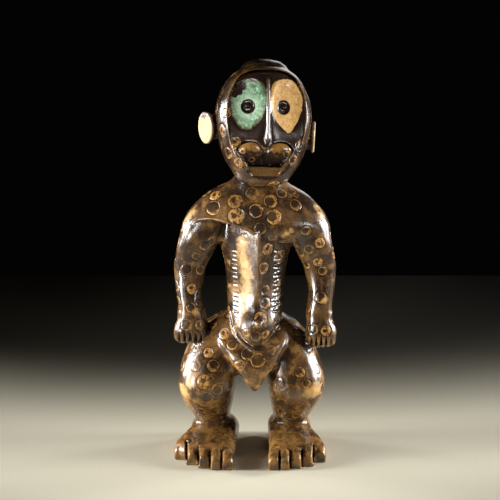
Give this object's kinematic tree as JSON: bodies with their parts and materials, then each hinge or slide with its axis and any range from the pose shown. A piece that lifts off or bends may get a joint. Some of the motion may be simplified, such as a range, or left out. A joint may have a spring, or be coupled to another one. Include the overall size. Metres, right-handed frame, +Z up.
{
  "type": "zande figure",
  "caption": "Standing wooden figure with a large head, round dished eyes, disc ears, bent knees and broad feet, stamped all over with small rings.",
  "frame": {"origin": "middle of the figure's box, on the floor that its soles stand on", "axes": "+Z up, -Y the way the figure faces, +X to the right of someone who looks at its face"},
  "size_m": [0.1624, 0.107, 0.4002],
  "materials": {
    "wood": "dark brown wood with a glossy handled patina, rubbed with ochre, and pale pigment in the eyes and on the ears"
  },
  "bodies": {
    "root": {"figure": "wood"}
  },
  "joints": []
}
